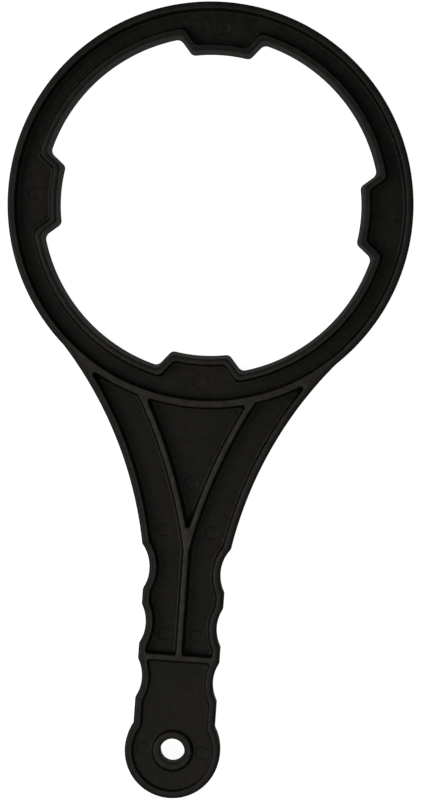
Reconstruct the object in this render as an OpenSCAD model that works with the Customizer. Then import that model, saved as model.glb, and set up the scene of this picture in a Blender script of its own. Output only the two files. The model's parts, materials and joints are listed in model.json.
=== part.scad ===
// Moulded wrench for the sump of a household water filter.
// Origin: centre of the ring, on the plane that the back of the rims lies in.
// +Z is the ring's axis and points out of the front face. The handle runs along -Y.

/* [Ring] */
// Outer diameter of the ring
ring_d = 156; // [150:1:175]
// Diameter of the opening at the front face
bore_front_d = 132.6; // [126:0.2:134]
// How much narrower the opening is at the back, measured on the diameter
bore_taper = 2.6; // [0:0.2:5]
// Thickness of the wrench, from the back of the rims to the front
thickness = 14; // [12:0.5:20]
// Width of the rims round the outside of the ring and the handle, seen from the front
rim_w = 2.9; // [2:0.1:3.4]
// Width of the rim round the opening and its lugs, seen from the front
bore_rim_w = 2.2; // [1.6:0.1:3.4]
// Thickness of the web between the rims
web_t = 3; // [2:0.1:4]

/* [Lugs] */
// How far each lug stands in from the opening, at the front
lug_depth = 7; // [5:0.1:9]
// Half of the angle that a lug's tip takes up at the ring's centre
lug_tip_angle = 10.3; // [8:0.1:13]
// Slope of a lug's flanks away from the radial direction
lug_flank_angle = 40; // [20:1:45]

/* [Handle] */
// Distance from the ring's centre to the hang hole
hang_y = 210.4; // [205:0.1:230]
// Radius of the round end
eye_r = 18.4; // [17:0.05:22]
// Radius of the concave flare between the grip and the ring
flare_r = 152.8; // [140:0.2:165]
// Distance from the ring's centre to the centre of the flare, along the handle
flare_y = 158.2; // [154:0.1:162]
// Half of the width that the two flares would narrow to
flare_waist = 14.8; // [13:0.1:17]
// Width across the crests of the grip
grip_w = 31.4; // [30:0.1:34]
// Distance from the ring's centre to the first finger scallop
first_scallop_y = 141.3; // [139:0.1:142]
// Distance from one finger scallop to the next
scallop_pitch = 21; // [20:0.05:22]
// Depth of a finger scallop below the crests
scallop_depth = 2; // [1:0.1:3]
// Radius of a finger scallop
scallop_r = 15.4; // [12:0.1:18]

/* [Ribs] */
// Width of the ribs on the handle
rib_w = 2.5; // [2:0.1:3.4]
// Radius of the two curved ribs
v_rib_r = 201.9; // [190:0.1:210]
// Distance from the ring's centre to the centre of a curved rib, along the handle
v_rib_y = 172.1; // [168:0.1:175]
// How far a curved rib's centre line would cross the middle of the handle
v_rib_cross = 3.85; // [3:0.05:4.5]
// Distance from the ring's centre to the middle of the cross rib
cross_rib_y = 174.7; // [173:0.1:176]

/* [Round end] */
// Depth of the shallow recess in the front of the pad
pad_recess = 1.8; // [1:0.1:4]
// Thickness of the pad
pad_t = 3.2; // [2:0.1:5]
// Diameter of the hang hole
hole_d = 9.4; // [6:0.1:10]
// Outer diameter of the collar round the hang hole
collar_d = 15.4; // [13:0.1:18]
// Rounding of the collar's outer edges
collar_round = 1.2; // [0.4:0.1:1.6]

/* [Hidden] */
$fn = 96;

black = [0.085, 0.083, 0.08];
ring_r = ring_d / 2;
channel_out_r = ring_r - rim_w;
bore_r = bore_front_d / 2;
channel_in_r = bore_r + bore_rim_w;
lug_r = bore_r - lug_depth;
lug_back_r = lug_r - bore_taper / 2;
lug_pocket_r = lug_r + bore_rim_w;
mid_z = thickness / 2;
web_z = mid_z - web_t / 2;
pad_z = thickness - pad_recess - pad_t;
grip_half = grip_w / 2;
scallops = 3;
flare_x = flare_waist + flare_r;
v_rib_x = v_rib_r - v_rib_cross;
// Where the outer edge of a curved rib has come in to the width of the centre rib
fork_y = v_rib_y - sqrt(pow(v_rib_r - rib_w / 2, 2) - pow(v_rib_x - rib_w / 2, 2));
scallop_x = grip_half - scallop_depth + scallop_r;
flare_centre = [flare_x, -flare_y];
// A line above which the flares overlap the ring, so that nothing of the handle lies there
neck_top_y = ring_r * flare_y / norm(flare_centre);
// Where the first scallop cuts into the flare
grip_top_y = -circles_meet(flare_centre, flare_r, [scallop_x, -first_scallop_y], scallop_r, -1)[1];
// Where the straight side of the grip runs into the round end
grip_end_y = hang_y - sqrt(pow(eye_r, 2) - pow(grip_half, 2));
far = 4 * ring_r;
cut = 1;

// One of the two points where two circles cross; side picks which, seen from a towards b
function circles_meet(a, ra, b, rb, side) =
    let (
        apart = norm(b - a),
        along = (ra * ra - rb * rb + apart * apart) / (2 * apart),
        off = side * sqrt(ra * ra - along * along),
        dir = (b - a) / apart
    )
    a + along * dir + off * [-dir[1], dir[0]];

// A plate from z0 to z1 in the shape of the children
module plate(z0, z1) {
    translate([0, 0, z0]) linear_extrude(z1 - z0) children();
}

// The part of the children between two distances from the ring's centre, along the handle
module along_handle(y0, y1) {
    intersection() {
        children();
        translate([-far / 2, -y1]) square([far, y1 - y0]);
    }
}

// The part of the children on one side of the handle: -1 is the left, 1 is the right
module on_side(side) {
    intersection() {
        children();
        translate([side < 0 ? -far : 0, -2 * far]) square([far, 4 * far]);
    }
}

// Outline of the handle, its edges moved in by inset
module handle_outline(inset) {
    difference() {
        union() {
            difference() {
                translate([-ring_r, -first_scallop_y]) square([ring_d, first_scallop_y - neck_top_y]);
                for (side = [-1, 1])
                    translate([side * flare_x, -flare_y]) circle(flare_r + inset, $fn = 360);
            }
            translate([inset - grip_half, -hang_y]) square([grip_w - 2 * inset, hang_y - first_scallop_y]);
            translate([0, -hang_y]) circle(eye_r - inset);
        }
        for (side = [-1, 1], i = [0:scallops - 1])
            translate([side * scallop_x, -first_scallop_y - i * scallop_pitch])
                circle(scallop_r + inset);
        circle(ring_r, $fn = 180);
    }
}

// The band between the outline of the handle and its pockets
module handle_band() {
    difference() {
        handle_outline(0);
        handle_outline(rim_w);
    }
}

// Wedge of a lug that points along +Y, its flanks moved in by inset
module lug_wedge(inset) {
    low = lug_back_r * cos(2 * lug_tip_angle);
    high = channel_in_r + cut;
    half_low = lug_r * sin(lug_tip_angle) + (low - lug_r * cos(lug_tip_angle)) * tan(lug_flank_angle);
    half_high = half_low + (high - low) * tan(lug_flank_angle);
    side = inset / cos(lug_flank_angle);
    polygon([
        [side - half_low, low], [half_low - side, low],
        [half_high - side, high], [side - half_high, high]
    ]);
}

// The tapered opening of a given front radius
module bore_cone(front_r) {
    slope = bore_taper / 2 / thickness;
    translate([0, 0, -cut])
        cylinder(h = thickness + 2 * cut, r1 = front_r - bore_taper / 2 - cut * slope,
            r2 = front_r + cut * slope, $fn = 180);
}

// Curved rib of the right side, drawn whole
module v_rib_arc() {
    translate([v_rib_x, -v_rib_y]) difference() {
        circle(v_rib_r + rib_w / 2, $fn = 360);
        circle(v_rib_r - rib_w / 2, $fn = 360);
    }
}

// Curved rib of one side, from the ring to the fork
module v_rib_outline(side) {
    on_side(side) difference() {
        along_handle(ring_r / 2, fork_y) scale([side, 1]) v_rib_arc();
        circle(ring_r, $fn = 180);
    }
}

// Both curved ribs and the centre rib as one outline; the centre rib starts inside the fork
module rib_outline() {
    for (side = [-1, 1]) v_rib_outline(side);
    along_handle(fork_y - rib_w, cross_rib_y) translate([-rib_w / 2, -far]) square([rib_w, far]);
}

module ring_outer_rim() {
    color(black) difference() {
        cylinder(h = thickness, r = ring_r, $fn = 180);
        translate([0, 0, -cut]) cylinder(h = thickness + 2 * cut, r = channel_out_r, $fn = 180);
    }
}

module ring_inner_rim() {
    color(black) difference() {
        cylinder(h = thickness, r = channel_in_r, $fn = 180);
        bore_cone(bore_r);
        for (a = [0:90:270])
            rotate(a) plate(-cut, thickness + cut) lug_wedge(0);
    }
}

module ring_web() {
    color(black) plate(web_z, web_z + web_t) difference() {
        circle(channel_out_r, $fn = 180);
        circle(channel_in_r, $fn = 180);
    }
}

// Lug that points along +Y before it is turned, with its share of the web
module lug(angle) {
    color(black) rotate(angle) difference() {
        plate(0, thickness) intersection() {
            lug_wedge(0);
            circle(channel_in_r, $fn = 180);
        }
        bore_cone(lug_r);
        for (z = [-cut, web_z + web_t])
            plate(z, z < 0 ? web_z : thickness + cut) difference() {
                lug_wedge(bore_rim_w);
                circle(lug_pocket_r, $fn = 180);
            }
    }
}

module neck_rim(side) {
    color(black) plate(0, thickness) on_side(side) along_handle(0, grip_top_y) handle_band();
}

module grip_rim(side) {
    color(black) plate(0, thickness) on_side(side) along_handle(grip_top_y, grip_end_y) handle_band();
}

module eye_rim() {
    color(black) plate(0, thickness) along_handle(grip_end_y, hang_y + 2 * eye_r) handle_band();
}

module handle_web() {
    color(black) plate(web_z, web_z + web_t) difference() {
        along_handle(0, cross_rib_y - rib_w / 2) handle_outline(rim_w);
        rib_outline();
    }
}

module v_rib(side) {
    color(black) plate(0, thickness) v_rib_outline(side);
}

module centre_rib() {
    color(black) plate(0, thickness)
        translate([-rib_w / 2, rib_w / 2 - cross_rib_y]) square([rib_w, cross_rib_y - rib_w / 2 - fork_y]);
}

module cross_rib() {
    color(black) plate(0, thickness)
        along_handle(cross_rib_y - rib_w / 2, cross_rib_y + rib_w / 2) handle_outline(rim_w);
}

module end_pad() {
    color(black) plate(pad_z, pad_z + pad_t) difference() {
        along_handle(cross_rib_y + rib_w / 2, hang_y + 2 * eye_r) handle_outline(rim_w);
        translate([0, -hang_y]) circle(collar_d / 2);
    }
}

// Tube with rounded outer edges, as high as the rims
module hang_hole_collar() {
    color(black) translate([0, -hang_y, 0]) rotate_extrude() difference() {
        translate([hole_d / 2, 0]) square([(collar_d - hole_d) / 2, thickness]);
        for (z = [0, thickness]) edge_waste(collar_d / 2 - collar_round, z, z == 0 ? 1 : -1);
    }
}

// What rounding takes off the corner of a collar's section
module edge_waste(x, z, up) {
    translate([x, z + up * collar_round]) difference() {
        translate([0, up < 0 ? 0 : -collar_round - cut]) square(collar_round + cut);
        circle(collar_round, $fn = 48);
    }
}

ring_outer_rim();
ring_inner_rim();
ring_web();
lug(0);  // lug_far
lug(90);  // lug_left
lug(180);  // lug_near
lug(270);  // lug_right
neck_rim(-1);  // neck_rim_left
neck_rim(1);  // neck_rim_right
grip_rim(-1);  // grip_rim_left
grip_rim(1);  // grip_rim_right
handle_web();
v_rib(-1);  // v_rib_left
v_rib(1);  // v_rib_right
centre_rib();
cross_rib();
end_pad();
eye_rim();
hang_hole_collar();
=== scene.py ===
"""Looks of the moulded filter housing wrench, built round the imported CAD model.

The wrench is one moulding. Each CAD node is a named region of it, and each gets one mesh here
that follows the same plan, with the draft, rounded edges and filleted feet of a real moulding.
The meshes share their border points and their surface normals, so the regions join unseen.
Lengths are in millimetres in the plan and the sections, and in metres in the meshes.
"""
import json
import math

import bpy
from mathutils import Matrix, Vector
from mathutils.geometry import delaunay_2d_cdt


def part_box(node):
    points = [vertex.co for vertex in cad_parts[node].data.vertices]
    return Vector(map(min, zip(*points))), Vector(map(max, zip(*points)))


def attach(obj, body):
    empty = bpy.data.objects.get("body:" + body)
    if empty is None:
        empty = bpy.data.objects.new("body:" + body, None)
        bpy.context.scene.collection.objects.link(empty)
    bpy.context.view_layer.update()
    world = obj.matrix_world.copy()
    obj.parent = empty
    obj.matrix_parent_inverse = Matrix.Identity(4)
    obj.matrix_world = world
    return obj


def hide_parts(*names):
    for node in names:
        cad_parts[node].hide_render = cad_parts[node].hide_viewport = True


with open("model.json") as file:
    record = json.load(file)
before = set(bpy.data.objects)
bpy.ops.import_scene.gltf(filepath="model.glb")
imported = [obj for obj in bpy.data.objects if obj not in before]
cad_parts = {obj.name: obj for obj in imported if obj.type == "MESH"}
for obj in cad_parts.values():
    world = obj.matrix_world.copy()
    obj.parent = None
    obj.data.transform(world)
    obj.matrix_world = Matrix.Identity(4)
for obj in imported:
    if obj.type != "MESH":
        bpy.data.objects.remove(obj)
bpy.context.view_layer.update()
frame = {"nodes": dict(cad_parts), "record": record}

MM = 0.001


def node_box(node):
    """Lowest and highest corner of a CAD node, in millimetres."""
    return [[v / MM for v in corner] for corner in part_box(node)]


# ---------------------------------------------------------------- sizes read from the CAD model

ring_high = node_box("ring_outer_rim")[1]
web_low, web_high = node_box("ring_web")
pad_low, pad_high = node_box("end_pad")
collar_low, collar_high = node_box("hang_hole_collar")
centre_low, centre_high = node_box("centre_rib")
cross_low, cross_high = node_box("cross_rib")

THICKNESS = ring_high[2]
RING_R = ring_high[0]
RIM_W = RING_R - web_high[0]
CHANNEL_IN_R = node_box("lug_far")[1][1]
HANG_Y = -(collar_low[1] + collar_high[1]) / 2
COLLAR_R = (collar_high[0] - collar_low[0]) / 2
EYE_R = -node_box("eye_rim")[0][1] - HANG_Y
RIB_W = centre_high[0] - centre_low[0]
HOLE_R = next(m["dims"]["r_mm"] for m in frame["record"]["mounts"] if m["name"] == "hang_hole")

# ---------------------------------------------------------------- plan, as the CAD has it

BORE_RIM_W = 2.2  # width of the rim round the opening and its lugs
BORE_R = CHANNEL_IN_R - BORE_RIM_W
BORE_TAPER = 1.3  # the opening's radius is this much less at the back
LUG_DEPTH = 7.0  # how far each lug stands in from the opening
LUG_R = BORE_R - LUG_DEPTH
LUG_TIP_ANGLE = math.radians(10.3)  # half of the angle that a tip takes up at the ring's centre
LUG_FLANK = math.radians(40)  # slope of the flanks away from the radial direction
LUGS = (("lug_far", 90), ("lug_right", 0), ("lug_near", -90), ("lug_left", 180))

FLARE_R = 152.8  # radius of the concave flare between the grip and the ring
FLARE_WAIST = 14.8  # half of the width that the two flares would narrow to
FLARE_X = FLARE_WAIST + FLARE_R
FLARE_Y = 158.2
GRIP_HALF = 15.7  # half of the width across the crests of the grip
SCALLOP_R = 15.4
SCALLOP_DEPTH = 2.0
SCALLOP_PITCH = 21
FIRST_SCALLOP_Y = 141.3
SCALLOP_X = GRIP_HALF - SCALLOP_DEPTH + SCALLOP_R
SCALLOP_Y = [FIRST_SCALLOP_Y + i * SCALLOP_PITCH for i in range(3)]
V_RIB_R = 201.9
V_RIB_CROSS = 3.85  # how far a curved rib's centre line would cross the middle of the handle
V_RIB_X = V_RIB_R - V_RIB_CROSS
V_RIB_Y = 172.1

# ---------------------------------------------------------------- section of the moulding

RIM_EDGE = 0.6  # rounding along the edges of the rims
RIB_EDGE = 0.9  # rounding along the edges of the ribs, which is nearly a full round
COLLAR_EDGE = 1.1
OUTER_EDGE = 1.2
BORE_EDGE = 0.7
LUG_EDGE = 0.6  # rounding along the channel side of the opening's rim
FOOT = 1.0  # fillet at the foot of every wall
WALL_DRAFT = math.radians(2.5)
OUTER_DRAFT = math.radians(0.6)
EDGE_STEPS = 4
FOOT_STEPS = 5
CORNER_STEPS = 6
ARC_STEP = 1.6  # longest side of a facet along a curve
CIRCLE_STEPS = 64  # fewest sides of a full circle
HOLE_EDGE = 0.4
PAD_FOOT = 0.8
EDGE_HIGHLIGHT_FALLOFF = 4  # how fast the painted highlight, with the rubbing, fades round an edge
RIB_EDGE_HIGHLIGHT = 1.0  # painted highlight, with rubbing, along the edges of the ribs
RIM_EDGE_HIGHLIGHT = 0.7  # painted highlight, with rubbing, along the inner edges of the rims
OUTER_EDGE_HIGHLIGHT = 0.1  # painted highlight, with rubbing, along the outside, the opening and the hang hole
LUG_MOUTH_R = 72.5  # how far out the floor of a lug belongs to the lug

# prints of the ejector pins
PIN_R = 2.6
PIN_DEPTH = 0.24
PIN_SLOPE = 0.45  # width of the slope round a print
LUG_PIN_R = 68.0  # distance of the prints in the lugs from the centre of the ring
SIDE_PINS = ((9.3, -126), (6.2, -166))  # in the pocket on the right of the ribs
FORK_PINS = ((0, -107),)
PAD_PIN_X = 11.4  # to either side of the hang hole

# rounding of the corners of the plan
POCKET_ROUND = 0.8
CREST_ROUND = 1.6
NECK_ROUND = 12.0
EYE_ROUND = 2.0
LUG_TIP_ROUND = 2.4
LUG_ROOT_ROUND = 2.8

# ---------------------------------------------------------------- look and view, in metres

GRAIN_SIZE = 0.0005
GRAIN_DEPTH = 0.00005
MOTTLE_SIZE = 0.0025
MOTTLE_DEPTH = 0.0005
SCUFF_SIZE = 0.0035
PATCH_SIZE = 0.018
DARK_PLASTIC = (0.0022, 0.0018, 0.0013, 1)
PALE_PLASTIC = (0.0155, 0.0132, 0.0093, 1)
# colour of the painted highlight on the edges, which also stands for rubbed plastic
HIGHLIGHT_AND_RUB_PLASTIC = (0.088, 0.080, 0.066, 1)
FLOOR_GLOW = 0.95
FLOOR_HALF = 8.0
FLOOR_GAP = 0.0002
# strength by the height of the direction that it comes from; 0.0 is the horizon and all below it
ROOM_GLOW = {0.0: 0.14, 0.15: 0.02, 0.35: 0.02, 0.65: 0.16, 0.8: 0.16, 0.95: 0.02}
LIGHT_COLOUR = (1.0, 0.96, 0.88)
TOP_LIGHT = ((0.05, -0.4, 0.8), 0.4, 0.4)  # place, side, power
LEFT_LIGHT = ((-1.2, -0.1, 1.2), 1.0, 5.4)
LIGHTS_FACE = (0, -0.075, 0.014)  # middle of the wrench
VIEW_TURN = math.radians(4.0)
VIEW_LEAN = (math.radians(1.2), math.radians(1.13))  # how far to the right and up the camera stands
VIEW_DISTANCE = 1.7
VIEW_HEIGHT = 0.307
VIEW_CENTRE = (0.00027, -0.0749)  # middle of the picture, from the centre of the ring


# ---------------------------------------------------------------- curves of the plan

class Arc:
    """A circle of the plan. The region lies outside it (side 1) or inside it (side -1)."""

    def __init__(self, centre, radius, side):
        self.centre, self.radius, self.side = Vector(centre), radius, side

    def moved(self, inset):
        return Arc(self.centre, self.radius + self.side * inset, self.side)

    def nearest(self, p):
        return self.centre + (p - self.centre).normalized() * self.radius

    def normal(self, p):
        return (p - self.centre).normalized() * self.side

    def between(self, a, b, steps):
        """Points from a to b, with the region on the left."""
        start, end = (math.atan2(*reversed(p - self.centre)) for p in (a, b))
        sweep = (start - end if self.side > 0 else end - start) % math.tau
        turns = [start - self.side * sweep * i / steps for i in range(steps + 1)]
        return [self.centre + self.radius * Vector((math.cos(t), math.sin(t))) for t in turns]

    def mirrored(self):
        return Arc((-self.centre.x, self.centre.y), self.radius, self.side)


class Line:
    """A straight stretch of the plan, through point, with the region where normal points."""

    def __init__(self, point, normal):
        self.point, self.n = Vector(point), Vector(normal).normalized()

    def moved(self, inset):
        return Line(self.point + self.n * inset, self.n)

    def nearest(self, p):
        return p - (p - self.point).dot(self.n) * self.n

    def normal(self, p):
        return self.n.copy()

    def between(self, a, b, steps):
        return [a.lerp(b, i / steps) for i in range(steps + 1)]

    def mirrored(self):
        return Line((-self.point.x, self.point.y), (-self.n.x, self.n.y))


def heading(curve, p):
    n = curve.normal(p)
    return Vector((n.y, -n.x))


def crossings(a, b):
    """Points where two curves cross."""
    if isinstance(a, Line) and isinstance(b, Line):
        along = Vector((a.n.y, -a.n.x))
        return [a.point + along * (b.point - a.point).dot(b.n) / along.dot(b.n)]
    if isinstance(a, Line):
        a, b = b, a
    if isinstance(b, Line):
        foot = b.nearest(a.centre)
        off = math.sqrt(a.radius ** 2 - (foot - a.centre).length_squared)
        along = Vector((b.n.y, -b.n.x))
        return [foot + along * off, foot - along * off]
    apart = b.centre - a.centre
    reach = (a.radius ** 2 - b.radius ** 2 + apart.length_squared) / (2 * apart.length)
    off = math.sqrt(a.radius ** 2 - reach ** 2)
    way = apart.normalized()
    foot = a.centre + way * reach
    return [foot + Vector((-way.y, way.x)) * off, foot - Vector((-way.y, way.x)) * off]


def meeting(a, b, bend):
    """The crossing at which the outline turns left (bend 1) or right (bend -1) from a to b."""
    return next(p for p in crossings(a, b) if heading(a, p).cross(heading(b, p)) * bend > 0)


class Loop:
    """A closed outline with its region on the left, which can be drawn at any inset.

    legs: (curve, piece, edge rounding, corner), where corner is the (name, radius, bend) of the
    rounded corner at the end of the curve, or None on a full circle. A corner between two different
    edge roundings has the smaller one. Every inset gives the same number of points.
    """

    def __init__(self, legs):
        self.legs = legs
        self.labels, self.edges, self.corners, self.steps = [], [], {}, []
        for i, (_, piece, edge, corner) in enumerate(legs):
            count = self.leg_steps(i)
            self.steps.append(count)
            self.labels += [piece] * count
            if corner is None:
                self.edges += [edge] * count
                continue
            after = legs[(i + 1) % len(legs)]
            self.edges += [min(legs[i - 1][2], edge)] + [edge] * (count - 1)
            self.edges += [min(edge, after[2])] * CORNER_STEPS
            self.corners[corner[0]] = len(self.labels) + CORNER_STEPS // 2
            self.labels += [piece] * (CORNER_STEPS // 2) + [after[1]] * (CORNER_STEPS // 2)

    def rounding(self, i, inset):
        """Centre and tangent points of the rounded corner at the end of leg i."""
        a, b = self.legs[i][0], self.legs[(i + 1) % len(self.legs)][0]
        _, radius, bend = self.legs[i][3]
        reach = inset + bend * radius
        centre = meeting(a.moved(reach), b.moved(reach), bend)
        return centre, a.moved(inset).nearest(centre), b.moved(inset).nearest(centre)

    def leg_steps(self, i):
        curve, _, _, corner = self.legs[i]
        if corner is None:
            return max(CIRCLE_STEPS, math.ceil(math.tau * curve.radius / ARC_STEP))
        points = curve.between(self.rounding(i - 1, 0)[2], self.rounding(i, 0)[1], CIRCLE_STEPS)
        length = sum((b - a).length for a, b in zip(points, points[1:]))
        return max(3, math.ceil(length / ARC_STEP))

    def at(self, inset):
        """Points at this inset, each with the direction that leads into the region."""
        if self.legs[0][3] is None:
            curve = self.legs[0][0].moved(inset)
            start = curve.centre + Vector((curve.radius, 0))
            turns = [-curve.side * math.tau * k / self.steps[0] for k in range(self.steps[0])]
            points = [curve.centre + curve.radius * Vector((math.cos(t), math.sin(t))) for t in turns]
            return [(p, curve.normal(p)) for p in points]
        found = []
        for i, (curve, _, _, (_, radius, bend)) in enumerate(self.legs):
            leg = curve.moved(inset)
            centre, end, onward = self.rounding(i, inset)
            points = leg.between(self.rounding(i - 1, inset)[2], end, self.steps[i])
            found += [(p, leg.normal(p)) for p in points]
            turn = Arc(centre, radius, -bend)
            found += [(p, turn.normal(p)) for p in turn.between(end, onward, CORNER_STEPS)[1:-1]]
        return found

    def span(self, first, last):
        """Indices from one to another, going forward."""
        count = len(self.labels)
        return [(first + k) % count for k in range((last - first) % count + 1)]

    def spans(self, piece):
        """The unbroken runs of points that belong to a piece."""
        count = len(self.labels)
        starts = [i for i in range(count) if self.labels[i] == piece and self.labels[i - 1] != piece]
        runs = []
        for start in starts:
            run = [start]
            while self.labels[run[-1]] == piece:
                run.append((run[-1] + 1) % count)
            runs.append(run)
        return runs


def to_left(name):
    return name.replace("right", "left")


def other_side(legs, last_corner):
    """The same legs on the left of the handle, in the order that keeps the region on the left."""
    corners = [leg[3] for leg in reversed(legs[:-1])] + [last_corner]
    return [
        (curve.mirrored(), to_left(piece), edge, (to_left(corner[0]),) + corner[1:])
        for (curve, piece, edge, _), corner in zip(reversed(legs), corners)
    ]


def grip_legs(inset, lowest):
    """Right side of the grip and the flare, going up from the crest below scallop number lowest."""
    legs = []
    for i in range(lowest, -1, -1):
        crest = Line((GRIP_HALF - inset, -SCALLOP_Y[i]), (-1, 0))
        scallop = Arc((SCALLOP_X, -SCALLOP_Y[i]), SCALLOP_R + inset, 1)
        legs.append((crest, "grip_rim_right", RIM_EDGE, (f"crest_{i}_below_right", CREST_ROUND, 1)))
        name = f"crest_{i}_above_right" if i else "grip_top_right"
        legs.append((scallop, "grip_rim_right", RIM_EDGE, (name, CREST_ROUND, 1)))
    return legs


def flare(inset, neck_round, bend):
    curve = Arc((FLARE_X, -FLARE_Y), FLARE_R + inset, 1)
    return (curve, "neck_rim_right", RIM_EDGE, ("neck_right", neck_round, bend))


def silhouette():
    """Outside of the wrench; the region is the plastic."""
    right = grip_legs(0, 2) + [flare(0, NECK_ROUND, -1)]
    ring = (Arc((0, 0), RING_R, -1), "ring_outer_rim", RIM_EDGE, ("neck_left", NECK_ROUND, -1))
    eye = (Arc((0, -HANG_Y), EYE_R, -1), "eye_rim", RIM_EDGE, ("eye_right", EYE_ROUND, -1))
    left = other_side(right, ("eye_left", EYE_ROUND, -1))
    return Loop([ring] + left + [eye] + right)


def opening():
    """Edge of the ring's opening round the lugs; the region is the plastic."""
    legs = []
    for lug, angle in LUGS:
        out = Vector((math.cos(math.radians(angle)), math.sin(math.radians(angle))))
        along = Vector((out.y, -out.x))
        tip_half, tip_out = LUG_R * math.sin(LUG_TIP_ANGLE), LUG_R * math.cos(LUG_TIP_ANGLE)
        flanks = [
            Line(out * tip_out + along * side * tip_half,
                 out * math.sin(LUG_FLANK) - along * side * math.cos(LUG_FLANK))
            for side in (-1, 1)
        ]
        legs += [
            (flanks[0], lug, LUG_EDGE, (f"{lug}_tip_start", LUG_TIP_ROUND, 1)),
            (Arc((0, 0), LUG_R, 1), lug, LUG_EDGE, (f"{lug}_tip_end", LUG_TIP_ROUND, 1)),
            (flanks[1], lug, LUG_EDGE, (f"{lug}_end", LUG_ROOT_ROUND, -1)),
        ]
        after = LUGS[(LUGS.index((lug, angle)) + 1) % len(LUGS)][0]
        arc = Arc((0, 0), BORE_R, 1)
        legs.append((arc, "ring_inner_rim", LUG_EDGE, (f"{after}_start", LUG_ROOT_ROUND, -1)))
    return Loop(legs)


def side_pocket():
    """Pocket to the right of the ribs, from the ring down to the cross rib."""
    ribs = [
        (Arc((0, 0), RING_R, 1), "ring_outer_rim", RIM_EDGE, ("base_right", POCKET_ROUND, 1)),
        (Arc((V_RIB_X, -V_RIB_Y), V_RIB_R - RIB_W / 2, -1), "v_rib_right", RIB_EDGE,
         ("fork_right", POCKET_ROUND, 1)),
        (Line((RIB_W / 2, 0), (1, 0)), "centre_rib", RIB_EDGE, ("foot_right", POCKET_ROUND, 1)),
        (Line((0, cross_high[1]), (0, 1)), "cross_rib", RIM_EDGE, ("cross_right", POCKET_ROUND, 1)),
    ]
    return ribs + grip_legs(RIM_W, 1) + [flare(RIM_W, POCKET_ROUND, 1)]


def fork_pocket():
    """Pocket between the two curved ribs."""
    ring = (Arc((0, 0), RING_R, 1), "ring_outer_rim", RIM_EDGE, ("base_left", POCKET_ROUND, 1))
    right = Arc((V_RIB_X, -V_RIB_Y), V_RIB_R + RIB_W / 2, 1)
    return Loop([
        ring,
        (right.mirrored(), "v_rib_left", RIB_EDGE, ("apex", POCKET_ROUND, 1)),
        (right, "v_rib_right", RIB_EDGE, ("base_right", POCKET_ROUND, 1)),
    ])


def pad_pocket():
    """Recess of the round end, below the cross rib."""
    scallop = Arc((SCALLOP_X, -SCALLOP_Y[2]), SCALLOP_R + RIM_W, 1)
    side = Line((GRIP_HALF - RIM_W, 0), (-1, 0))
    right = [
        (side, "grip_rim_right", RIM_EDGE, ("side_right", CREST_ROUND, 1)),
        (scallop, "grip_rim_right", RIM_EDGE, ("cross_right", POCKET_ROUND, 1)),
    ]
    cross = (Line((0, cross_low[1]), (0, -1)), "cross_rib", RIM_EDGE, ("cross_left", POCKET_ROUND, 1))
    eye = (Arc((0, -HANG_Y), EYE_R - RIM_W, -1), "eye_rim", RIM_EDGE, ("eye_right", EYE_ROUND, -1))
    return Loop([cross] + other_side(right, ("eye_left", EYE_ROUND, -1)) + [eye] + right)


def circle(centre, radius, side, piece, edge):
    return Loop([(Arc(centre, radius, side), piece, edge, None)])


# ---------------------------------------------------------------- surfaces

class Spot:
    """A point of a surface, whose normal points along way in the plan and up by angle.

    A spot on an edge gets a painted highlight, which also stands for rubbing, most of all where it faces
    straight out of the front or the back.
    """

    def __init__(self, plan, z, way, angle, highlight_strength=0.0):
        self.at = Vector((plan[0], plan[1], z))
        self.normal = (way.x * math.cos(angle), way.y * math.cos(angle), math.sin(angle))
        self.rub_and_highlight = highlight_strength * math.sin(angle) ** EDGE_HIGHLIGHT_FALLOFF


FLAT = Vector((0, 0))


def steps(start, end, count):
    return [start + (end - start) * k / count for k in range(count + 1)]


def wall(loop, depth, front, base=0.0, foot=FOOT):
    """Rows of spots down the wall of a pocket, from the rounded edge to the filleted foot.

    The depth is measured from the front of the rims, or from their back.
    """
    face, up = (THICKNESS, 1) if front else (0.0, -1)
    rows = []
    for angle in steps(math.pi / 2, WALL_DRAFT, EDGE_STEPS):
        row = []
        for (p, way), edge in zip(loop.at(base), loop.edges):
            z = face - up * edge * (1 - math.sin(angle))
            # the painted highlight, with rubbing, is stronger on the ribs than on the rims
            highlight_strength = RIB_EDGE_HIGHLIGHT if edge == RIB_EDGE else RIM_EDGE_HIGHLIGHT
            row.append(Spot(p - way * edge * (1 - math.cos(angle)), z, way, up * angle, highlight_strength))
        rows.append(row)
    wall_end = depth - foot * (1 - math.sin(WALL_DRAFT))
    reach = base + wall_end * math.tan(WALL_DRAFT) + foot * math.cos(WALL_DRAFT)
    for angle in steps(WALL_DRAFT, math.pi / 2, FOOT_STEPS):
        z = face - up * (depth - foot * (1 - math.sin(angle)))
        row = [Spot(p, z, way, up * angle) for p, way in loop.at(reach - foot * math.cos(angle))]
        rows.append(row)
    return rows


def rounded_edge(front, edge, lean, wall_inset):
    """(inset, z, angle, strength of the painted edge highlight) down an outside edge whose wall faces up by
    lean.
    """
    face, up = (THICKNESS, 1) if front else (0.0, -1)
    turn_z = face - up * edge
    centre = wall_inset(turn_z + edge * math.sin(lean)) + edge * math.cos(lean)
    section = [
        (centre - edge * math.cos(angle), turn_z + edge * math.sin(angle), angle, OUTER_EDGE_HIGHLIGHT)
        for angle in steps(up * math.pi / 2, lean, EDGE_STEPS)
    ]
    return section if front else section[::-1]


class Skin:
    """A surface of the outside that runs from the front to the back, as banks of rows of spots.

    sections: lists of (inset, z, angle, strength of the painted edge highlight), one list for each bank.
    """

    def __init__(self, loop, *sections):
        self.loop = loop
        self.banks = [
            [[Spot(p, z, -way, angle, highlight_strength) for p, way in loop.at(inset)]
             for inset, z, angle, highlight_strength in section]
            for section in sections
        ]
        self.top, self.bottom = self.banks[0][0], self.banks[-1][-1]

    def column(self, i):
        return [row[i].at for bank in self.banks for row in bank]


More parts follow.
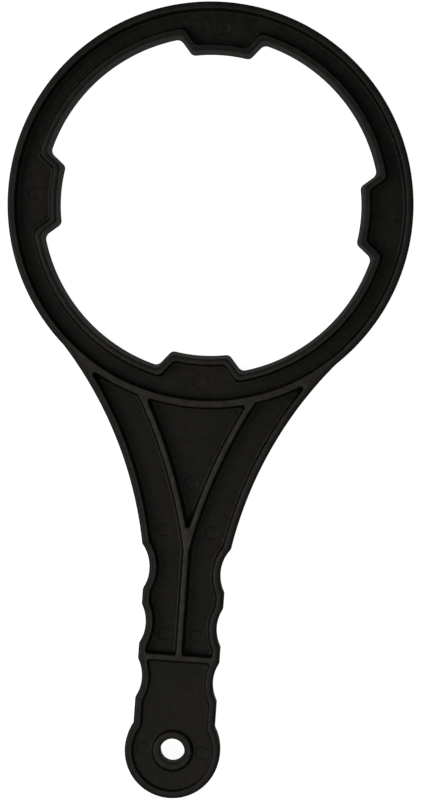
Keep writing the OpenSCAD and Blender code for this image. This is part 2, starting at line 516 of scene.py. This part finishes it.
class Pocket:
    """The walls of a pocket in the front, and of the pocket behind it in the back."""

    def __init__(self, loop, front_depth, back_depth, base=0.0, front_foot=FOOT):
        self.loop = loop
        self.banks = [
            wall(loop, front_depth, True, base, front_foot),
            wall(loop, back_depth, False, base)[::-1],
        ]
        self.top, self.bottom = self.banks[0][0], self.banks[1][-1]
        self.front_foot, self.back_foot = self.banks[0][-1], self.banks[1][0]

    def column(self, i):
        return [row[i].at for row in self.banks[0] + self.banks[1]]

    def web_column(self, i):
        return [self.front_foot[i].at, self.back_foot[i].at]


class Post:
    """A vertical line inside the plastic, where regions meet."""

    def __init__(self, plan, high, low, highlight_strength=0.0):
        self.top = self.front_foot = [Spot(plan, high, FLAT, math.pi / 2, highlight_strength)]
        self.bottom = self.back_foot = [Spot(plan, low, FLAT, -math.pi / 2)]

    def column(self, i):
        return [self.top[i].at, self.bottom[i].at]


# ---------------------------------------------------------------- regions of the moulding

INSIDE_ONLY = 1  # makes delaunay_2d_cdt leave out the triangles outside every ring
SAME_POINT = 1e-7  # points closer than this, in millimetres, are one


class Region:
    """The faces of one closed region of the moulding, which becomes one mesh."""

    def __init__(self, name):
        self.name, self.points, self.where, self.rub_and_highlight = name, [], {}, []
        self.faces, self.normals = [], []

    def index(self, at, rub_and_highlight):
        key = tuple(round(v, 5) for v in at)
        if key not in self.where:
            self.where[key] = len(self.points)
            self.points.append(at * MM)
            self.rub_and_highlight.append(rub_and_highlight)
        return self.where[key]

    def add_corners(self, corners):
        corners = [c for k, c in enumerate(corners) if c[0] != corners[k - 1][0]]
        if len(corners) > 2:
            self.faces.append([index for index, _ in corners])
            self.normals += [normal for _, normal in corners]

    def add(self, spots):
        """A face that shows, given counter-clockwise as seen from outside."""
        self.add_corners([(self.index(spot.at, spot.rub_and_highlight), spot.normal) for spot in spots])

    def add_hidden(self, a, b, c):
        """A triangle inside the plastic, where the region meets its neighbour."""
        normal = (b - a).cross(c - a).normalized()
        self.add_corners([(self.index(p, 0.0), normal) for p in (a, b, c)])

    def border(self, start, end):
        """Close the region along the way from one column to another, which has it on the left."""
        i = j = 0
        while i < len(start) - 1 or j < len(end) - 1:
            if j == len(end) - 1 or (i < len(start) - 1 and start[i + 1].z >= end[j + 1].z):
                self.add_hidden(start[i], start[i + 1], end[j])
                i += 1
            else:
                self.add_hidden(start[i], end[j + 1], end[j])
                j += 1

    def build(self):
        mesh = bpy.data.meshes.new(self.name)
        mesh.from_pydata(self.points, [], self.faces, shade_flat=False)
        mesh.normals_split_custom_set(self.normals)
        # each point's strength of the painted edge highlight, which also stands for rubbing
        attribute = mesh.attributes.new("rub_and_highlight", "FLOAT", "POINT")
        attribute.data.foreach_set("value", self.rub_and_highlight)
        piece = bpy.data.objects.new(self.name, mesh)
        bpy.context.scene.collection.objects.link(piece)
        return piece


regions = {node: Region(f"{node}_moulding") for node in frame["nodes"]}


def around(part):
    """The label of each stretch of a part's loop, with the indices of its two ends."""
    labels = part.loop.labels
    return [(label, i, (i + 1) % len(labels)) for i, label in enumerate(labels)]


def add_walls(part, outside):
    """Give every face of a surface to the region that its stretch of the plan belongs to."""
    for bank in part.banks:
        for upper, lower in zip(bank, bank[1:]):
            for label, i, after in around(part):
                quad = [upper[i], upper[after], lower[after], lower[i]]
                regions[label].add(quad[::-1] if outside else quad)


def add_web_border(pocket, webs):
    """Close the web of a pocket against the walls round it. webs: the web that each wall stands on."""
    for label, i, after in around(pocket):
        web = webs.get(label, label)
        if web != label:
            start, end = pocket.web_column(i), pocket.web_column(after)
            regions[web].border(start, end)
            regions[label].border(end, start)


def counter_clockwise(row):
    area = sum(a.at.xy.cross(b.at.xy) for a, b in zip(row, row[1:] + row[:1]))
    return row if area > 0 else row[::-1]


def fill(region, outline, holes, up):
    """A flat face inside an outline and outside its holes, which are rows of spots."""
    spots, rings = [], []
    for row in [outline] + holes:
        rings.append(list(range(len(spots), len(spots) + len(row))))
        spots += counter_clockwise(row)
    places = [spot.at.xy for spot in spots]
    _, _, triangles, origins, _, inside = delaunay_2d_cdt(places, [], rings, INSIDE_ONLY, SAME_POINT)
    for triangle, rings_around in zip(triangles, inside):
        if rings_around == [0]:
            corners = [spots[origins[v][0]] for v in triangle]
            region.add(corners if up else corners[::-1])


def along(part, first, last):
    """A part's columns from one corner to another, in the direction of its own loop."""
    corners = part.loop.corners
    return part, part.loop.span(corners[first], corners[last])


def against(part, first, last):
    return part, along(part, last, first)[1][::-1]


def cap(name, *stretches, holes=()):
    """Front and back of a rim or rib, and its borders with the regions that it runs into.

    stretches: (part, indices) of the columns round it, counter-clockwise.
    """
    region = regions[name]
    tops = [part.top[i] for part, indices in stretches for i in indices]
    fill(region, tops, [part.top for part in holes], True)
    bottoms = [part.bottom[i] for part, indices in stretches for i in indices]
    fill(region, bottoms, [part.bottom for part in holes], False)
    if len(stretches) > 1:
        for (part, indices), (after, onward) in zip(stretches, stretches[1:] + stretches[:1]):
            region.border(part.column(indices[-1]), after.column(onward[0]))


# ---------------------------------------------------------------- the moulding

def outer_wall():
    """The outside is drafted both ways from a parting line at half the thickness."""
    parting = THICKNESS / 2

    def inset(z):
        return abs(z - parting) * math.tan(OUTER_DRAFT)

    front = rounded_edge(True, OUTER_EDGE, OUTER_DRAFT, inset) + [(0.0, parting, OUTER_DRAFT, 0.0)]
    back = [(0.0, parting, -OUTER_DRAFT, 0.0)] + rounded_edge(False, OUTER_EDGE, -OUTER_DRAFT, inset)
    return front, back


def bore_wall():
    """The opening narrows evenly from the front to the back."""
    lean = math.atan(BORE_TAPER / THICKNESS)

    def inset(z):
        return BORE_TAPER * (z / THICKNESS - 1)

    return rounded_edge(True, BORE_EDGE, lean, inset) + rounded_edge(False, BORE_EDGE, lean, inset)


def hole_wall():
    def inset(z):
        return 0.0

    return rounded_edge(True, HOLE_EDGE, 0.0, inset) + rounded_edge(False, HOLE_EDGE, 0.0, inset)


web_depths = (THICKNESS - web_high[2], web_low[2])
pad_depths = (THICKNESS - pad_high[2], pad_low[2])
hang = (0, -HANG_Y)
side_legs = side_pocket()

outside = Skin(silhouette(), *outer_wall())
bore = Skin(opening(), bore_wall())
hole = Skin(circle(hang, HOLE_R, 1, "hang_hole_collar", 0.0), hole_wall())
channel_in = Pocket(opening(), *web_depths, base=BORE_RIM_W)
channel_out = Pocket(circle((0, 0), RING_R - RIM_W, -1, "ring_outer_rim", RIM_EDGE), *web_depths)
right = Pocket(Loop(side_legs), *web_depths)
left = Pocket(Loop(other_side(side_legs, side_legs[-1][3])), *web_depths)
fork = Pocket(fork_pocket(), *web_depths)
pad = Pocket(pad_pocket(), *pad_depths, front_foot=PAD_FOOT)
collar_loop = circle(hang, COLLAR_R, 1, "hang_hole_collar", COLLAR_EDGE)
collar = Pocket(collar_loop, *pad_depths, front_foot=PAD_FOOT)
junction = Post((0, centre_high[1]), THICKNESS, 0.0, RIB_EDGE_HIGHLIGHT), [0]

for part in (outside, bore, hole):
    add_walls(part, True)
for part in (channel_in, channel_out, right, left, fork, pad, collar):
    add_walls(part, False)

cap("ring_outer_rim",
    along(outside, "neck_right", "neck_left"),
    against(left, "neck_left", "base_left"),
    against(fork, "base_left", "base_right"),
    against(right, "base_right", "neck_right"),
    holes=[channel_out])
cap("v_rib_right",
    against(fork, "base_right", "apex"),
    junction,
    against(right, "fork_right", "base_right"))
cap("v_rib_left",
    against(left, "base_left", "fork_left"),
    junction,
    against(fork, "apex", "base_left"))
cap("centre_rib",
    junction,
    against(left, "fork_left", "foot_left"),
    against(right, "foot_right", "fork_right"))
cap("cross_rib",
    against(right, "cross_right", "foot_right"),
    against(left, "foot_left", "cross_left"),
    against(pad, "cross_left", "cross_right"))
cap("grip_rim_right",
    along(outside, "eye_right", "grip_top_right"),
    against(right, "grip_top_right", "cross_right"),
    against(pad, "cross_right", "eye_right"))
cap("grip_rim_left",
    along(outside, "grip_top_left", "eye_left"),
    against(pad, "eye_left", "cross_left"),
    against(left, "cross_left", "grip_top_left"))
cap("neck_rim_right",
    along(outside, "grip_top_right", "neck_right"),
    against(right, "neck_right", "grip_top_right"))
cap("neck_rim_left",
    along(outside, "neck_left", "grip_top_left"),
    against(left, "grip_top_left", "neck_left"))
cap("eye_rim",
    along(outside, "eye_left", "eye_right"),
    against(pad, "eye_right", "eye_left"))
cap("hang_hole_collar", (collar, range(len(collar.top))), holes=[hole])

lug_names = [lug for lug, _ in LUGS]
for name in ["ring_inner_rim"] + lug_names:
    for run in bore.loop.spans(name):
        cap(name, (bore, run), (channel_in, run[::-1]))


def add_pin_print(region, centre, z):
    """Sink the print of an ejector pin into a floor, and return its rim."""
    loop = circle(centre, PIN_R, -1, None, 0.0)
    slope = math.atan2(PIN_SLOPE, PIN_DEPTH)
    rim = [Spot(p, z, FLAT, math.pi / 2) for p, _ in loop.at(0.0)]
    upper = [Spot(p, z, way, slope) for p, way in loop.at(0.0)]
    lower = [Spot(p, z - PIN_DEPTH, way, slope) for p, way in loop.at(PIN_SLOPE)]
    base = [Spot(p, z - PIN_DEPTH, FLAT, math.pi / 2) for p, _ in loop.at(PIN_SLOPE)]
    for i in range(len(rim)):
        region.add([upper[i - 1], upper[i], lower[i], lower[i - 1]])
    fill(region, base, [], True)
    return rim


def add_web(name, outline, holes=(), prints=()):
    """Front and back of a web, with pin prints in the front.

    The outline and each hole are lists of (part, indices).
    """
    region = regions[name]
    rows = [[part.front_foot[i] for part, indices in row for i in indices] for row in (outline, *holes)]
    sunk = [add_pin_print(region, centre, rows[0][0].at.z) for centre in prints]
    fill(region, rows[0], rows[1:] + sunk, True)
    rows = [[part.back_foot[i] for part, indices in row for i in indices] for row in (outline, *holes)]
    fill(region, rows[0], rows[1:], False)


def whole(pocket):
    return [(pocket, range(len(pocket.top)))]


def polar(radius, angle):
    return radius * math.cos(math.radians(angle)), radius * math.sin(math.radians(angle))


add_web("handle_web", whole(right), prints=SIDE_PINS)
add_web("handle_web", whole(left), prints=[(-x, y) for x, y in SIDE_PINS])
add_web("handle_web", whole(fork), prints=FORK_PINS)
add_web("end_pad", whole(pad), [whole(collar)], [(-PAD_PIN_X, -HANG_Y), (PAD_PIN_X, -HANG_Y)])

channel_edge = []
for (name, angle), arc in zip(LUGS, channel_in.loop.spans("ring_inner_rim")):
    [run] = channel_in.loop.spans(name)
    mouth = Post(polar(LUG_MOUTH_R, angle), web_high[2], web_low[2]), [0]
    add_web(name, [(channel_in, run), mouth], prints=[polar(LUG_PIN_R, angle)])
    start, middle, end = channel_in.web_column(run[0]), mouth[0].column(0), channel_in.web_column(run[-1])
    regions[name].border(end, middle)
    regions[name].border(middle, start)
    regions["ring_web"].border(start, middle)
    regions["ring_web"].border(middle, end)
    channel_edge += [mouth, (channel_in, arc)]
add_web("ring_web", whole(channel_out), [channel_edge])

for pocket in (right, left, fork):
    add_web_border(pocket, {label: "handle_web" for label in pocket.loop.labels})
add_web_border(pad, {label: "end_pad" for label in pad.loop.labels})
add_web_border(collar, {"hang_hole_collar": "end_pad"})
add_web_border(channel_out, {"ring_outer_rim": "ring_web"})
add_web_border(channel_in, {"ring_inner_rim": "ring_web"})


# ---------------------------------------------------------------- materials

class Nodes:
    """A new material's node tree, with a short way to add and link nodes."""

    def __init__(self, name):
        self.material = bpy.data.materials.new(name)
        self.material.use_nodes = True
        self.tree = self.material.node_tree
        self.shader = self.tree.nodes["Principled BSDF"]

    def add(self, kind, inputs=None, **settings):
        """A node; each input is a value, or the output socket that feeds it."""
        node = self.tree.nodes.new(kind)
        for name, value in settings.items():
            setattr(node, name, value)
        for name, value in (inputs or {}).items():
            self.feed(node, name, value)
        return node

    def feed(self, node, name, value):
        if isinstance(value, bpy.types.NodeSocket):
            self.tree.links.new(value, node.inputs[name])
        else:
            node.inputs[name].default_value = value

    def noise(self, size, detail, where):
        """Noise with features of about this size in metres."""
        found = self.add("ShaderNodeTexNoise", {"Vector": where, "Scale": 1 / size, "Detail": detail})
        return found.outputs["Fac"]

    def ramp(self, value, low, high, start=0.0, end=1.0):
        """Start below low, end above high, and a smooth way between."""
        inputs = {"Value": value, "From Min": low, "From Max": high, "To Min": start, "To Max": end}
        return self.add("ShaderNodeMapRange", inputs, interpolation_type="SMOOTHSTEP").outputs[0]

    def math(self, operation, a, b):
        return self.add("ShaderNodeMath", {0: a, 1: b}, operation=operation).outputs[0]

    def blend(self, amount, a, b):
        """A colour from a, at amount 0, to b, at amount 1."""
        inputs = {"Factor": amount, "A": a, "B": b}
        node = self.add("ShaderNodeMix", None, data_type="RGBA")
        for name, value in inputs.items():
            index = [k for k, socket in enumerate(node.inputs) if socket.name == name and socket.enabled][0]
            self.feed(node, index, value)
        return node.outputs[2]


def black_plastic():
    """Moulded plastic: fine grain, faint mottling, dull patches and a painted edge highlight with rubbing.

    The painted edge highlight is weaker towards the far side of the ring and at the round end.
    """
    nodes = Nodes("black_plastic")
    where = nodes.add("ShaderNodeTexCoord").outputs["Object"]
    rub_and_highlight = nodes.add("ShaderNodeAttribute", attribute_name="rub_and_highlight").outputs["Fac"]
    grain = nodes.noise(GRAIN_SIZE, 3, where)
    patches = nodes.noise(PATCH_SIZE, 4, where)
    mottle = nodes.noise(MOTTLE_SIZE, 4, where)
    scuffs = nodes.noise(SCUFF_SIZE, 5, where)
    y = nodes.add("ShaderNodeSeparateXYZ", {0: where}).outputs["Y"]
    # the painted edge highlight fades towards the far side of the ring and at the round end
    highlight_fade_ring = nodes.ramp(y, -0.06, 0.08, 1.0, 0.4)
    highlight_fade_eye = nodes.ramp(y, -0.2, -0.16, 0.6, 1.0)
    highlight_fade = nodes.math("MULTIPLY", highlight_fade_ring, highlight_fade_eye)
    scuffed_and_faded = nodes.math("MULTIPLY", highlight_fade, nodes.ramp(scuffs, 0.35, 0.7, 0.5, 1.0))
    wear_and_highlight = nodes.math("MULTIPLY", rub_and_highlight, scuffed_and_faded)

    pale = nodes.ramp(patches, 0.4, 0.65, 0.0, 0.4)
    cloud = nodes.math("ADD", pale, nodes.ramp(mottle, 0.42, 0.62, 0.0, 0.6))
    colour = nodes.blend(cloud, DARK_PLASTIC, PALE_PLASTIC)
    # edges are lightened towards the colour of the painted highlight, which also stands for rubbed plastic
    nodes.feed(nodes.shader, "Base Color", nodes.blend(wear_and_highlight, colour, HIGHLIGHT_AND_RUB_PLASTIC))

    dull = nodes.ramp(mottle, 0.3, 0.7, 0.44, 0.60)
    speckled = nodes.math("ADD", dull, nodes.ramp(grain, 0.35, 0.65, -0.05, 0.07))
    polish = nodes.math("MULTIPLY", wear_and_highlight, 0.08)
    nodes.feed(nodes.shader, "Roughness", nodes.math("SUBTRACT", speckled, polish))

    waves = nodes.add("ShaderNodeBump", {"Height": mottle, "Strength": 0.3, "Distance": MOTTLE_DEPTH})
    inputs = {"Height": grain, "Strength": 0.3, "Distance": GRAIN_DEPTH, "Normal": waves.outputs[0]}
    nodes.feed(nodes.shader, "Normal", nodes.add("ShaderNodeBump", inputs).outputs[0])
    return nodes.material


def white_floor():
    nodes = Nodes("white_floor")
    nodes.feed(nodes.shader, "Base Color", (0.8, 0.8, 0.8, 1))
    nodes.feed(nodes.shader, "Roughness", 0.9)
    nodes.feed(nodes.shader, "Emission Color", (1, 1, 1, 1))
    nodes.feed(nodes.shader, "Emission Strength", FLOOR_GLOW)
    return nodes.material


plastic = black_plastic()

# ---------------------------------------------------------------- pieces

for node, region in regions.items():
    piece = region.build()
    piece.data.materials.append(plastic)
    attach(piece, "root")
    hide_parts(node)

# ---------------------------------------------------------------- floor, light and camera

def add_object(name, data):
    found = bpy.data.objects.new(name, data)
    bpy.context.scene.collection.objects.link(found)
    return found


def add_floor():
    """A white floor that the plastic doesn't mirror."""
    mesh = bpy.data.meshes.new("floor")
    corners = [(-FLOOR_HALF, -FLOOR_HALF), (FLOOR_HALF, -FLOOR_HALF),
               (FLOOR_HALF, FLOOR_HALF), (-FLOOR_HALF, FLOOR_HALF)]
    mesh.from_pydata([(x, y, -FLOOR_GAP) for x, y in corners], [], [(0, 1, 2, 3)])
    mesh.materials.append(white_floor())
    floor = add_object("floor", mesh)
    floor.visible_glossy = False


def add_light(name, where, size, power):
    """A square soft light that faces the middle of the wrench."""
    light = bpy.data.lights.new(name, "AREA")
    light.size = size
    light.energy = power
    light.color = LIGHT_COLOUR
    lamp = add_object(name, light)
    lamp.location = where
    facing = Vector(LIGHTS_FACE) - lamp.location
    lamp.rotation_euler = facing.to_track_quat("-Z", "Y").to_euler()


def add_camera():
    """A camera almost straight above, with the far end of the handle turned to the left."""
    image_right = Vector((math.cos(VIEW_TURN), math.sin(VIEW_TURN), 0))
    image_up = Vector((-math.sin(VIEW_TURN), math.cos(VIEW_TURN), 0))
    target = image_right * VIEW_CENTRE[0] + image_up * VIEW_CENTRE[1] + Vector((0, 0, THICKNESS * MM))
    back = (image_right * math.sin(VIEW_LEAN[0]) + image_up * math.sin(VIEW_LEAN[1])
            + Vector((0, 0, 1))).normalized()
    across = image_up.cross(back).normalized()
    up = back.cross(across)
    camera = bpy.data.cameras.new("camera")
    camera.sensor_width = 36
    camera.lens = camera.sensor_width * VIEW_DISTANCE / VIEW_HEIGHT
    camera.clip_end = 100
    eye = add_object("camera", camera)
    turn = Matrix((across, up, back)).transposed()
    eye.matrix_world = Matrix.Translation(target + back * VIEW_DISTANCE) @ turn.to_4x4()
    bpy.context.scene.camera = eye


def studio():
    """A room with a ring of soft light high up round it, dim overhead and just above the horizon.

    The faint glow from below the horizon stands in for the floor, which the plastic doesn't mirror.
    """
    world = bpy.data.worlds.new("studio")
    world.use_nodes = True
    tree = world.node_tree
    direction = tree.nodes.new("ShaderNodeTexCoord")
    height = tree.nodes.new("ShaderNodeSeparateXYZ")
    glow = tree.nodes.new("ShaderNodeValToRGB")
    stops = glow.color_ramp.elements
    while len(stops) < len(ROOM_GLOW):
        stops.new(0.5)
    for stop, (up, strength) in zip(stops, ROOM_GLOW.items()):
        stop.position = up
        stop.color = (strength, strength, strength, 1)
    tree.links.new(direction.outputs["Generated"], height.inputs[0])
    tree.links.new(height.outputs["Z"], glow.inputs[0])
    tree.links.new(glow.outputs["Color"], tree.nodes["Background"].inputs["Color"])
    return world


add_floor()
add_light("top_light", *TOP_LIGHT)
add_light("left_light", *LEFT_LIGHT)
add_camera()

bpy.context.scene.world = studio()
bpy.context.scene.view_settings.view_transform = "Standard"
